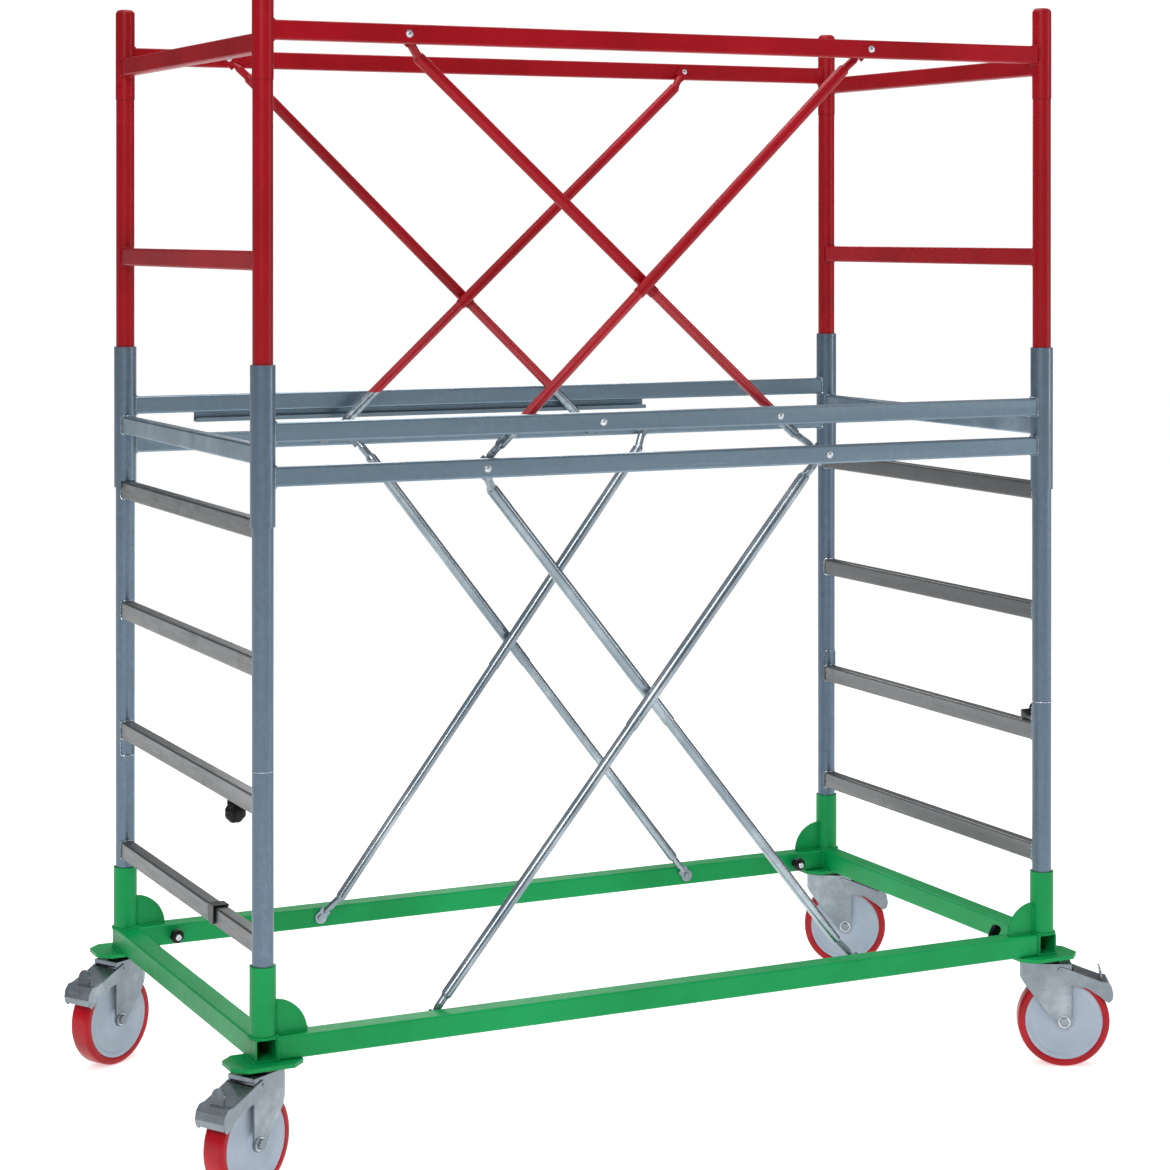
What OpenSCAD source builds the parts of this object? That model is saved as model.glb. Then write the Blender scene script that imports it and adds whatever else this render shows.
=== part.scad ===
// Baker scaffold: green wheeled base, two grey ladder ends, grey platform frame,
// red guard ends, red top frame and eight telescopic braces.
// Millimetres, +X along the long side, +Y to the rear, +Z up, origin on the floor at the middle.

/* [Overall] */
// Distance between upright axes along the long side
base_length = 1800; // [1400:1:2400]
// Distance between upright axes front to rear
base_depth = 920; // [700:1:1300]
// Shift of the frame to the rear, so that the origin is the middle of the outline
frame_shift = 29; // [0:1:60]

/* [Round tubes] */
// Outside diameter of the ladder uprights
ladder_d = 42; // [32:0.5:50]
// Outside diameter of the guard uprights
guard_d = 40; // [30:0.5:48]
// How much thicker the posts of the top frame are than the guard uprights
post_extra = 2; // [0:0.5:6]
// Wall of the platform sleeves
sleeve_wall = 3.4; // [2:0.1:6]
// Wall of the green sockets
socket_wall = 4.4; // [2:0.1:7]
// Wall of the round uprights
upright_wall = 2; // [1.5:0.1:4]
// Radial clearance of tubes that slip into each other
slip = 0.1; // [0.05:0.01:0.1]
// Gap left between parts that only touch
touch = 0.3; // [0.1:0.1:0.6]

/* [Flat tubes] */
// Height of the rungs and rails
rail_h = 38; // [25:0.5:50]
// Thickness of the rungs and rails
rail_w = 28; // [20:0.5:40]
// Wall of the rungs and rails
rail_wall = 2; // [1.5:0.1:4]
// Corner radius of the rungs and rails
rail_r = 4; // [1:0.5:8]

/* [Base] */
// Side of the square green tubes
beam = 45; // [35:1:60]
// Wall of the square green tubes
beam_wall = 3.5; // [2:0.5:6]
// Height of the sockets above the green tubes
socket_h = 135; // [80:1:200]
// Radius of the quarter round gussets
gusset_r = 68; // [40:1:90]
// Thickness of the gussets
gusset_t = 6; // [3:0.5:12]
// Length of the corner plates along the long side
plate_x = 146; // [110:1:190]
// Width of the corner plates front to rear
plate_y = 104; // [80:1:150]
// Thickness of the corner plates
plate_t = 8; // [4:0.5:14]
// Corner cut of the corner plates
plate_cut = 26; // [10:1:40]
// Distance of the clamp screws from the upright axes
clamp_x = 105; // [95:1:200]

/* [Ladder ends] */
// Height of the first rung above the sockets
first_rung_up = 39; // [24:1:80]
// Distance from rung to rung
rung_pitch = 265; // [220:1:300]
// Number of rungs at each end
rung_count = 4; // [2:1:5]
// Height of the ladder tops above the last rung
ladder_over = 173; // [150:1:260]

/* [Platform frame] */
// How far the lower rails lie below the ladder tops
low_rail_down = 73; // [45:1:95]
// How far the upper rails lie above the ladder tops
high_rail_up = 12; // [0:1:80]
// How far the side rungs lie below the ladder tops
side_rung_down = 30; // [0:1:90]
// Length of the sleeves above the ladder tops
sleeve_over = 142; // [80:1:220]
// Height of the lower edge of the sleeves above the last rung
sleeve_up = 5; // [0:1:60]
// Thickness of the stop ring inside the sleeves
stop_t = 6; // [3:0.5:12]
// Start of the deck ledge, distance from the left upright axis
ledge_from = 160; // [60:1:400]
// Length of the deck ledge
ledge_len = 1127; // [400:1:1200]
// Depth of the deck ledge
ledge_d = 22; // [12:1:40]
// Bracket bolt in the front upper rail on the left, as a part of the length
bracket_left = 0.400; // [0.3:0.001:0.45]
// Bracket bolt in the front upper rail on the right, as a part of the length
bracket_right = 0.629; // [0.55:0.001:0.68]

/* [Guard and top frame] */
// Height of the guard rungs above the ladder tops
guard_rung_up = 341; // [200:1:500]
// Height of the joint to the top posts above the ladder tops
joint_up = 688; // [560:1:900]
// Height of the long rails of the top frame above the joint
top_rail_up = 96; // [70:1:140]
// Height of the side rails of the top frame above the joint
top_side_up = 71; // [30:1:140]
// Height of the rounded post tops above the joint
post_h = 199; // [170:1:280]
// Length of the spigots above the joint
spigot_h = 60; // [30:1:80]

/* [Braces] */
// Outside diameter of the outer brace tube
brace_d = 25; // [20:0.5:30]
// Wall of the outer brace tube
brace_wall = 1.5; // [1:0.1:3]
// Diameter of the rivets
rivet_d = 8; // [6:0.5:12]
// Thickness of the flattened brace ends
eye_t = 5; // [3:0.5:8]
// Front top pivot of the red brace on the left, as a part of the length
front_top_left = 0.165; // [0.11:0.001:0.22]
// Front top pivot of the red brace on the right
front_top_right = 0.752; // [0.7:0.001:0.8]
// Front platform pivot on the left
front_low_left = 0.258; // [0.22:0.001:0.31]
// Front platform pivot on the right
front_low_right = 0.695; // [0.64:0.001:0.75]
// Front foot of the grey brace on the left
front_foot_left = 0.196; // [0.17:0.001:0.25]
// Front foot of the grey brace on the right
front_foot_right = 0.747; // [0.7:0.001:0.8]
// Rear top pivot of the red brace on the left
rear_top_left = 0.130; // [0.1:0.001:0.2]
// Rear top pivot of the red brace on the right
rear_top_right = 0.772; // [0.7:0.001:0.82]
// Rear platform pivot of the red brace on the left
rear_low_left = 0.254; // [0.22:0.001:0.26]
// Rear platform pivot of the red brace on the right
rear_low_right = 0.631; // [0.58:0.001:0.67]
// Rear platform pivot of the grey brace on the left
rear_grey_left = 0.296; // [0.29:0.001:0.34]
// Rear platform pivot of the grey brace on the right
rear_grey_right = 0.713; // [0.69:0.001:0.75]
// Rear foot of the grey brace on the left
rear_foot_left = 0.250; // [0.19:0.001:0.29]
// Rear foot of the grey brace on the right
rear_foot_right = 0.773; // [0.72:0.001:0.81]
// Length of the outer tube of a front red brace, as a part of the brace
red_share = 0.6; // [0.5:0.01:0.7]
// Length of the outer tube of a rear red brace, as a part of the brace
rear_red_share = 0.65; // [0.5:0.01:0.7]
// Length of the outer tube of a grey brace, as a part of the brace
grey_share = 0.5; // [0.4:0.01:0.7]
// Length of the inner tube that sits inside the outer tube
overlap = 170; // [100:1:300]
// Length over which a brace end is bent
bend_run = 62; // [50:1:90]

/* [Casters] */
// Wheel diameter
wheel_d = 200; // [150:1:220]
// Wheel width
wheel_w = 50; // [35:1:60]
// Thickness of the tread
tread_t = 16; // [8:0.5:24]
// Room between the wheel and the corner plate
caster_gap = 35; // [33:1:50]
// Distance from swivel axis to wheel axle
trail = 46; // [30:1:60]
// Diameter of the wheel axle
axle_d = 12; // [8:0.5:16]
// Diameter of the kingpin
king_d = 14; // [10:0.5:20]
// Sheet thickness of the fork
fork_t = 4; // [2.5:0.5:6]
// Angle of the pedals from the long axis towards the front
pedal_turn = 30; // [0:1:60]

/* [Knobs] */
// Diameter of the round knobs
knob_d = 44; // [30:1:60]
// Diameter of the clamp hubs on the base
clamp_d = 32; // [24:1:40]
// Distance of the left rung knob from the middle, towards the front
knob_left_y = 285; // [150:1:320]
// Distance of the right knob from the front upright axis
knob_right_y = 60; // [52:1:120]
// Thickness of the lugs that carry the knobs
lug_t = 4; // [3:0.5:8]
// Distance of the cap on the first left rung from the middle, towards the front
cap_y = 200; // [0:1:320]

/* [Hidden] */
$fn = 96;
eps = 0.01;
half_x = base_length / 2;
half_y = base_depth / 2;
post_d = guard_d + post_extra;
sleeve_d = ladder_d + 2 * slip + 2 * sleeve_wall;
socket_d = ladder_d + 2 * slip + 2 * socket_wall;
spigot_d = guard_d - 2 * upright_wall;
caster_h = wheel_d + caster_gap;
beam_z = caster_h + plate_t;
foot_z = beam_z + beam / 2;
beam_top = beam_z + beam;
socket_top = beam_top + socket_h;
ladder_foot = beam_top + touch;
first_rung_z = socket_top + first_rung_up;
last_rung_z = first_rung_z + (rung_count - 1) * rung_pitch;
ladder_top_z = last_rung_z + ladder_over;
knob_rung_z = first_rung_z + rung_pitch;
knob_off = rail_h / 2 + knob_d / 2 + 0.5;
low_rail_z = ladder_top_z - low_rail_down;
high_rail_z = ladder_top_z + high_rail_up;
side_rung_z = ladder_top_z - side_rung_down;
sleeve_low_z = last_rung_z + sleeve_up;
sleeve_top_z = ladder_top_z + sleeve_over;
guard_rung_z = ladder_top_z + guard_rung_up;
joint_z = ladder_top_z + joint_up;
top_rail_z = joint_z + top_rail_up;
top_side_z = joint_z + top_side_up;
post_top_z = joint_z + post_h;
rail_in = rail_w / 2;
inner_d = brace_d - 2 * brace_wall - 2 * slip;
near_off = rail_in + touch + eye_t / 2;
// Room a rivet leaves for a brace eye, and the height of its inner head
eye_room = eye_t + 2 * touch;
head_t = 2.5;
// Offsets of the tube axes from the eye plane; the nearer brace of a pair takes the first
off_a = brace_d / 2 - eye_t / 2;
off_b = off_a + brace_d + 1;
// Eye plane of the lower ends, measured from the eye plane of the upper ends
foot_red = eye_room + head_t + 1.1;
foot_grey = beam / 2 - rail_in;
wheel_r = wheel_d / 2;
axle_z = wheel_r;
fork_in = wheel_w / 2 + 4;
fork_out = fork_in + fork_t;
fork_back = fork_out + 15;
fork_top = caster_h - 9;
crown_t = 8;
leg_r = 16;
pivot_x = trail - 6;
pivot_z = axle_z + wheel_r + 11;
pedal_in = fork_out + touch;
pedal_out = pedal_in + 3;
red = [0.72, 0.06, 0.12];
grey = [0.62, 0.65, 0.68];
green = [0.0, 0.6, 0.3];
zinc = [0.7, 0.71, 0.72];
black = [0.05, 0.05, 0.05];
nylon = [0.75, 0.79, 0.84];
tread = [0.75, 0.03, 0.05];

// ---- shared shapes ----

// Rectangle with rounded corners, centred
module round_rect(a, b, r) {
    union() {
        square([a - 2 * r, b], center = true);
        square([a, b - 2 * r], center = true);
        for (i = [-1, 1], j = [-1, 1]) {
            translate([i * (a / 2 - r), j * (b / 2 - r)]) circle(r = r, $fn = 32);
        }
    }
}

// Flat tube along X, centred
module flat_x(len) {
    rotate([90, 0, 90]) translate([0, 0, -len / 2]) linear_extrude(len) difference() {
        round_rect(rail_w, rail_h, rail_r);
        round_rect(rail_w - 2 * rail_wall, rail_h - 2 * rail_wall, rail_r - rail_wall);
    }
}

// Flat tube along Y, centred
module flat_y(len) {
    rotate([0, 0, 90]) flat_x(len);
}

// Square tube along X, centred
module beam_x(len) {
    rotate([90, 0, 90]) translate([0, 0, -len / 2]) linear_extrude(len) difference() {
        round_rect(beam, beam, 4);
        round_rect(beam - 2 * beam_wall, beam - 2 * beam_wall, 1);
    }
}

// Round tube between two heights
module tube_z(d, wall, z0, z1) {
    translate([0, 0, z0]) difference() {
        cylinder(d = d, h = z1 - z0);
        translate([0, 0, -1]) cylinder(d = d - 2 * wall, h = z1 - z0 + 2);
    }
}

// Places the children at both ends of one side, side -1 is left
module side_ends(side) {
    translate([side * half_x, frame_shift, 0]) {
        for (j = [-1, 1]) {
            translate([0, j * half_y, 0]) children();
        }
    }
}

// Places the children at all four uprights
module four_ends() {
    side_ends(-1) children();
    side_ends(1) children();
}

// Rail along X between upright axes, with ends cut to the round tubes
module long_rail(z, d) {
    difference() {
        translate([0, 0, z]) flat_x(base_length);
        for (i = [-1, 1]) {
            translate([i * half_x, 0, z - rail_h]) cylinder(d = d + 2 * slip, h = 2 * rail_h);
        }
    }
}

// Rung along Y between upright axes, with ends cut to the round tubes
module cross_rung(z, d) {
    difference() {
        translate([0, 0, z]) flat_y(base_depth);
        for (j = [-1, 1]) {
            translate([0, j * half_y, z - rail_h]) cylinder(d = d + 2 * slip, h = 2 * rail_h);
        }
    }
}

// Pin along Y with a flat round head on the outer side, side -1 is the front
module rivet(part, z, side, inner) {
    translate([part * base_length - half_x, frame_shift + side * half_y, z]) rotate([side * 90, 0, 0]) {
        translate([0, 0, -rail_in - 2.5]) cylinder(d = rivet_d + 7, h = 2.5);
        translate([0, 0, -rail_in - 1]) cylinder(d = rivet_d, h = 2 * rail_in + 1 + inner);
        translate([0, 0, rail_in + inner]) cylinder(d = rivet_d + 5, h = head_t);
    }
}

// Hole for such a rivet
module rivet_hole(part, z, side) {
    translate([part * base_length - half_x, frame_shift + side * half_y, z]) rotate([90, 0, 0]) {
        cylinder(d = rivet_d + 2 * slip, h = 4 * rail_in, center = true);
    }
}

// ---- base ----

module side_tubes() {
    color(green) for (i = [-1, 1]) {
        translate([i * half_x, frame_shift, foot_z]) rotate([0, 0, 90]) {
            beam_x(base_depth + beam);
        }
    }
}

module long_rails() {
    color(green) for (j = [-1, 1]) {
        translate([0, frame_shift + j * half_y, foot_z]) beam_x(base_length - beam);
    }
}

module sockets() {
    color(green) four_ends() {
        tube_z(socket_d, (socket_d - ladder_d) / 2 - slip, beam_top, socket_top);
    }
}

module gusset() {
    difference() {
        translate([0, gusset_t / 2, beam_top]) rotate([90, 0, 0]) linear_extrude(gusset_t) intersection() {
            translate([socket_d / 2 - 4, 0]) circle(r = gusset_r);
            translate([socket_d / 2 - 4, 0]) square([gusset_r + 1, gusset_r + 1]);
        }
        translate([0, 0, beam_top - 1]) cylinder(d = socket_d + 2 * slip, h = socket_h + 2);
    }
}

module gussets() {
    color(green) for (i = [0, 1], j = [-1, 1]) {
        translate([0, frame_shift + j * half_y, 0]) mirror([i, 0, 0]) {
            translate([-half_x, 0, 0]) gusset();
        }
    }
}

module corner_plate() {
    a = plate_x / 2;
    b = plate_y / 2;
    c = plate_cut;
    translate([0, 0, caster_h]) difference() {
        linear_extrude(plate_t) polygon([
            [-a + c, -b], [a - c, -b], [a, -b + c], [a, b - c],
            [a - c, b], [-a + c, b], [-a, b - c], [-a, -b + c]
        ]);
        translate([0, 0, -1]) cylinder(d = king_d + 0.4, h = plate_t + 2);
    }
}

module corner_plates() {
    color(green) four_ends() corner_plate();
}

// Fixed part of a caster: bearing disc, kingpin with nut collar
module caster_head() {
    difference() {
        translate([0, 0, caster_h - 7]) cylinder(d = 72, h = 7);
        translate([0, 0, caster_h - 8]) cylinder(d = king_d, h = 9);
    }
    translate([0, 0, fork_top - crown_t - 7]) cylinder(d = king_d, h = 24 + crown_t);
    translate([0, 0, fork_top - crown_t - 7]) cylinder(d = king_d + 12, h = 6.5);
}

module base_fixings() {
    color(zinc) four_ends() caster_head();
}

// Clamp screw with hub and wing on the inner face of a long rail; local -Y leaves the rail
module clamp(side, wing) {
    rotate([90, 0, 0]) {
        translate([0, 0, touch]) cylinder(d = 12, h = 26);
        translate([0, 0, 12]) cylinder(d = clamp_d, h = 20);
        translate([0, 0, 30]) cylinder(d = 14, h = 6);
    }
    if (wing) rotate([0, -side * 30, 0]) translate([-11, -29, 10]) cube([22, 11, 32]);
}

module clamp_at(i, j) {
    translate([i * (half_x - clamp_x), frame_shift + j * (half_y - beam / 2), foot_z]) {
        mirror([0, j > 0 ? 0 : 1, 0]) clamp(-i, j < 0);
    }
}

module clamp_front_left() {
    color(black) clamp_at(-1, -1);
}

module clamp_front_right() {
    color(black) clamp_at(1, -1);
}

module clamp_rear_left() {
    color(black) clamp_at(-1, 1);
}

module clamp_rear_right() {
    color(black) clamp_at(1, 1);
}

// ---- ladder ends ----

module ladder_tubes(side) {
    color(grey) side_ends(side) {
        tube_z(ladder_d, upright_wall, ladder_foot, ladder_top_z - touch);
    }
}

module ladder_rungs(side) {
    color(grey) translate([side * half_x, frame_shift, 0]) {
        for (k = [0 : rung_count - 1]) {
            cross_rung(first_rung_z + k * rung_pitch, ladder_d);
        }
    }
}

module left_uprights() {
    ladder_tubes(-1);
}

// Lug on a rung behind a knob; up is 1 above the rung and -1 below it
module knob_lug(from_x, to_x, up) {
    translate([0, touch, 0]) rotate([-90, 0, 0]) linear_extrude(lug_t) union() {
        translate([0, -up * knob_off]) circle(d = 24);
        translate([from_x, up > 0 ? -knob_off : rail_h / 2 + 0.02]) {
            square([to_x - from_x, knob_off - rail_h / 2 - 0.02]);
        }
    }
}

module left_rungs() {
    ladder_rungs(-1);
    color(grey) translate([-half_x, frame_shift - knob_left_y, knob_rung_z]) knob_lug(-12, 12, -1);
}

module right_uprights() {
    ladder_tubes(1);
}

module right_rungs() {
    knob_x = knob_d / 2 + 1;
    ladder_rungs(1);
    color(grey) translate([half_x + knob_x, frame_shift - half_y + knob_right_y, knob_rung_z]) {
        knob_lug(-knob_x - rail_in + 3, 12, 1);
    }
}

// Round knob with a screw along -Y
module knob() {
    rotate([90, 0, 0]) {
        rotate_extrude() polygon([
            [0, 0], [knob_d / 4, 0], [knob_d / 4, 4], [knob_d / 2 - 3, 6], [knob_d / 2, 10],
            [knob_d / 2, 16], [knob_d / 2 - 5, 21], [5, 22], [5, 26], [0, 26]
        ]);
    }
}

module left_knob() {
    color(black) translate([-half_x, frame_shift - knob_left_y, knob_rung_z - knob_off]) knob();
}

module right_knob() {
    color(black) translate([half_x + knob_d / 2 + 1, frame_shift - half_y + knob_right_y, 0]) {
        translate([0, 0, knob_rung_z + knob_off]) knob();
    }
}

module rung_cap() {
    color(black) translate([-half_x - rail_in - touch, frame_shift - cap_y, first_rung_z]) {
        rotate([0, -90, 0]) cylinder(d = 34, h = 5);
        translate([-5, -17, 4]) cube([5, 34, rail_h / 2 + touch]);
        translate([-5, -17, rail_h / 2 + touch]) cube([rail_in * 2 + 5, 34, 4]);
    }
}

// ---- platform frame ----

module sleeve(side, end) {
    notch_top = last_rung_z + rail_h / 2 + 1.5;
    translate([side * half_x, frame_shift + end * half_y, 0]) difference() {
        translate([0, 0, sleeve_low_z]) cylinder(d = sleeve_d, h = sleeve_top_z - sleeve_low_z);
        translate([0, 0, sleeve_low_z - 1]) {
            cylinder(d = ladder_d + 2 * slip, h = ladder_top_z - sleeve_low_z + 1);
        }
        translate([0, 0, ladder_top_z - 1]) cylinder(d = guard_d - 8, h = stop_t + 2);
        translate([0, 0, ladder_top_z + stop_t]) {
            cylinder(d = guard_d + 2 * slip, h = sleeve_top_z - ladder_top_z);
        }
        translate([-rail_w / 2 - 1, end > 0 ? -sleeve_d : 0, sleeve_low_z - 1]) {
            cube([rail_w + 2, sleeve_d, notch_top - sleeve_low_z + 1]);
        }
    }
}

module sleeves() {
    color(grey) for (i = [-1, 1], j = [-1, 1]) {
        sleeve(i, j);
    }
}

module platform_rails() {
    color(grey) {
        difference() {
            for (j = [-1, 1], z = [low_rail_z, high_rail_z]) {
                translate([0, frame_shift + j * half_y, 0]) long_rail(z, sleeve_d);
            }
            for (x = [front_low_left, front_low_right]) {
                rivet_hole(x, low_rail_z, -1);
            }
            for (x = [rear_low_left, rear_low_right, rear_grey_left, rear_grey_right]) {
                rivet_hole(x, low_rail_z, 1);
            }
            for (x = [bracket_left, bracket_right]) {
                rivet_hole(x, high_rail_z, -1);
            }
        }
        for (i = [-1, 1]) {
            translate([i * half_x, frame_shift, 0]) cross_rung(side_rung_z, sleeve_d);
        }
        translate([ledge_from - half_x, frame_shift + half_y - rail_in, 0]) {
            translate([0, 0, high_rail_z - rail_h / 2 - ledge_d]) {
                cube([ledge_len, 3, 9]);
                cube([ledge_len, ledge_d, 3]);
                translate([0, ledge_d - 3, 0]) cube([ledge_len, 3, ledge_d]);
            }
        }
    }
}

module platform_rivets() {
    color(zinc) {
        for (x = [front_low_left, front_low_right]) {
            rivet(x, low_rail_z, -1, eye_room);
        }
        for (x = [rear_low_left, rear_low_right, rear_grey_left, rear_grey_right]) {
            rivet(x, low_rail_z, 1, eye_room);
        }
        for (x = [bracket_left, bracket_right]) {
            rivet(x, high_rail_z, -1, 0);
        }
    }
}

// ---- guard ends ----

module guard_tubes(side) {
    color(red) side_ends(side) {
        tube_z(guard_d, upright_wall, ladder_top_z + stop_t + touch, joint_z);
        tube_z(spigot_d, 3, joint_z - 60, joint_z + spigot_h);
    }
}

module guard_rung(side) {
    color(red) translate([side * half_x, frame_shift, 0]) cross_rung(guard_rung_z, guard_d);
}

module left_guard_tubes() {
    guard_tubes(-1);
}

module left_guard_rung() {
    guard_rung(-1);
}

module right_guard_tubes() {
    guard_tubes(1);
}

module right_guard_rung() {
    guard_rung(1);
}

// ---- top frame ----

module top_post() {
    r = post_d / 2;
    bore = spigot_d / 2 + slip;
    difference() {
        translate([0, 0, joint_z + touch]) rotate_extrude() union() {
            square([r, post_top_z - joint_z - touch - 10]);
            square([r - 10, post_top_z - joint_z - touch]);
            translate([r - 10, post_top_z - joint_z - touch - 10]) intersection() {
                circle(r = 10, $fn = 64);
                square([10, 10]);
            }
        }
        translate([0, 0, joint_z - 1]) cylinder(r = bore, h = post_top_z - joint_z - 5);
    }
}

module top_posts() {
    color(red) four_ends() top_post();
}

module top_rails() {
    color(red) {
        difference() {
            for (j = [-1, 1]) {
                translate([0, frame_shift + j * half_y, 0]) long_rail(top_rail_z, post_d);
            }
            for (x = [front_top_left, front_top_right]) {
                rivet_hole(x, top_rail_z, -1);
            }
            for (x = [rear_top_left, rear_top_right]) {
                rivet_hole(x, top_rail_z, 1);
            }
        }
        for (i = [-1, 1]) {
            translate([i * half_x, frame_shift, 0]) cross_rung(top_side_z, post_d);
        }
    }
}

module top_rivets() {
    color(zinc) {
        for (x = [front_top_left, front_top_right]) {
            rivet(x, top_rail_z, -1, eye_room);
        }
        for (x = [rear_top_left, rear_top_right]) {
            rivet(x, top_rail_z, 1, eye_room);
        }
    }
}

// ---- braces ----
// A brace is drawn along local +X from its upper pivot, local +Y is the inner side of the tower.
// far is the distance of the tube axis from the eye plane.

// Flattened end with a bend from the eye plane to the tube axis; d is the tube diameter
module brace_end(d, far, hole) {
    run = bend_run - 12;
    reach = sqrt(far * far + run * run);
    difference() {
        union() {
            rotate([90, 0, 0]) cylinder(d = d + 6, h = eye_t, center = true);
            translate([0, -eye_t / 2, -d / 2 - 1]) cube([22, eye_t, d + 2]);
            translate([12, 0, 0]) rotate([0, 90, atan2(far, run)]) {
                cylinder(d1 = eye_t, d2 = d * 0.7, h = 20);
                translate([0, 0, 20]) cylinder(d = d * 0.7, h = reach - 20);
            }
            translate([bend_run - 9, far, 0]) rotate([0, 90, 0]) {
                cylinder(d1 = d * 0.62, d2 = d, h = 9);
            }
        }
        if (hole) rotate([90, 0, 0]) cylinder(d = rivet_d + 2 * slip, h = 60, center = true);
        translate([-d, -d - eye_t / 2, -d]) cube([d + bend_run - 22, d, 2 * d]);
    }
}

module brace_outer(far, len) {
    difference() {
        union() {
            brace_end(brace_d, far, true);
            translate([bend_run, far, 0]) rotate([0, 90, 0]) {
                cylinder(d = brace_d, h = len - bend_run);
            }
            translate([len - 24, far, 0]) rotate([90, 0, 0]) cylinder(d = 7, h = brace_d / 2 + 0.7);
        }
        translate([bend_run + 14, far, 0]) rotate([0, 90, 0]) {
            cylinder(d = inner_d + 2 * slip, h = len);
        }
    }
}

module brace_inner(far, from, total, foot) {
    difference() {
        union() {
            translate([total, foot, 0]) mirror([1, 0, 0]) brace_end(inner_d, far - foot, false);
            translate([total, foot - eye_t / 2, 0]) rotate([-90, 0, 0]) {
                cylinder(d = 14, h = eye_t + 4);
            }
            translate([from, far, 0]) rotate([0, 90, 0]) {
                cylinder(d = inner_d, h = total - bend_run - from);
            }
        }
        translate([from - 1, far, 0]) rotate([0, 90, 0]) {
            cylinder(d = inner_d - 4, h = total - bend_run - from - 13);
        }
    }
}

// Places a brace from (part p0, height z0) to (part p1, height z1); side -1 is the front
module brace_place(p0, z0, p1, z1, side) {
    angle = atan2(z0 - z1, (p1 - p0) * base_length);
    translate([p0 * base_length - half_x, frame_shift + side * (half_y - near_off), z0]) {
        rotate([0, angle, 0]) mirror([0, side > 0 ? 1 : 0, 0]) children();
    }
}

// Distance between the two pivots of a brace
function span(p0, z0, p1, z1) = sqrt(pow((p1 - p0) * base_length, 2) + pow(z1 - z0, 2));

module pair_outer(p0, z0, p1, z1, side, far, share) {
    len = span(p0, z0, p1, z1) * share;
    brace_place(p0, z0, p1, z1, side) brace_outer(far, len);
}

module pair_inner(p0, z0, p1, z1, side, far, share, foot) {
    total = span(p0, z0, p1, z1);
    brace_place(p0, z0, p1, z1, side) brace_inner(far, total * share - overlap, total, foot);
}

module front_red_a_outer() {
    color(red) pair_outer(front_top_left, top_rail_z, front_low_right, low_rail_z, -1, off_b, red_share);
}

module front_red_a_inner() {
    color(red) pair_inner(front_top_left, top_rail_z, front_low_right, low_rail_z, -1,
        off_b, red_share, foot_red);
}

module front_red_b_outer() {
    color(red) pair_outer(front_top_right, top_rail_z, front_low_left, low_rail_z, -1, off_a, red_share);
}

module front_red_b_inner() {
    color(red) pair_inner(front_top_right, top_rail_z, front_low_left, low_rail_z, -1,
        off_a, red_share, foot_red);
}

module rear_red_a_outer() {
    color(red) pair_outer(rear_top_left, top_rail_z, rear_low_right, low_rail_z, 1, off_a, rear_red_share);
}

module rear_red_a_inner() {
    color(red) pair_inner(rear_top_left, top_rail_z, rear_low_right, low_rail_z, 1,
        off_a, rear_red_share, foot_red);
}

module rear_red_b_outer() {
    color(red) pair_outer(rear_top_right, top_rail_z, rear_low_left, low_rail_z, 1, off_b, rear_red_share);
}

module rear_red_b_inner() {
    color(red) pair_inner(rear_top_right, top_rail_z, rear_low_left, low_rail_z, 1,
        off_b, rear_red_share, foot_red);
}

module front_grey_a_outer() {
    color(grey) pair_outer(front_low_left, low_rail_z, front_foot_right, foot_z, -1, off_b, grey_share);
}

module front_grey_a_inner() {
    color(grey) pair_inner(front_low_left, low_rail_z, front_foot_right, foot_z, -1,
        off_b, grey_share, foot_grey);
}

module front_grey_b_outer() {
    color(grey) pair_outer(front_low_right, low_rail_z, front_foot_left, foot_z, -1, off_a, grey_share);
}

module front_grey_b_inner() {
    color(grey) pair_inner(front_low_right, low_rail_z, front_foot_left, foot_z, -1,
        off_a, grey_share, foot_grey);
}

module rear_grey_a_outer() {
    color(grey) pair_outer(rear_grey_left, low_rail_z, rear_foot_right, foot_z, 1, off_a, grey_share);
}

module rear_grey_a_inner() {
    color(grey) pair_inner(rear_grey_left, low_rail_z, rear_foot_right, foot_z, 1,
        off_a, grey_share, foot_grey);
}

module rear_grey_b_outer() {
    color(grey) pair_outer(rear_grey_right, low_rail_z, rear_foot_left, foot_z, 1, off_b, grey_share);
}

module rear_grey_b_inner() {
    color(grey) pair_inner(rear_grey_right, low_rail_z, rear_foot_left, foot_z, 1,
        off_b, grey_share, foot_grey);
}

// ---- casters ----
// Local +X is the pedal side, the origin is on the floor below the swivel axis.

module caster_at(i, j) {
    translate([i * half_x, frame_shift + j * half_y, 0]) {
        rotate([0, 0, i > 0 ? -pedal_turn : 180 + pedal_turn]) children();
    }
}

module hex_head(y0, y1) {
    translate([trail, y0, axle_z]) rotate([-90, 0, 0]) cylinder(d = 21, h = y1 - y0, $fn = 6);
}

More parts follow.
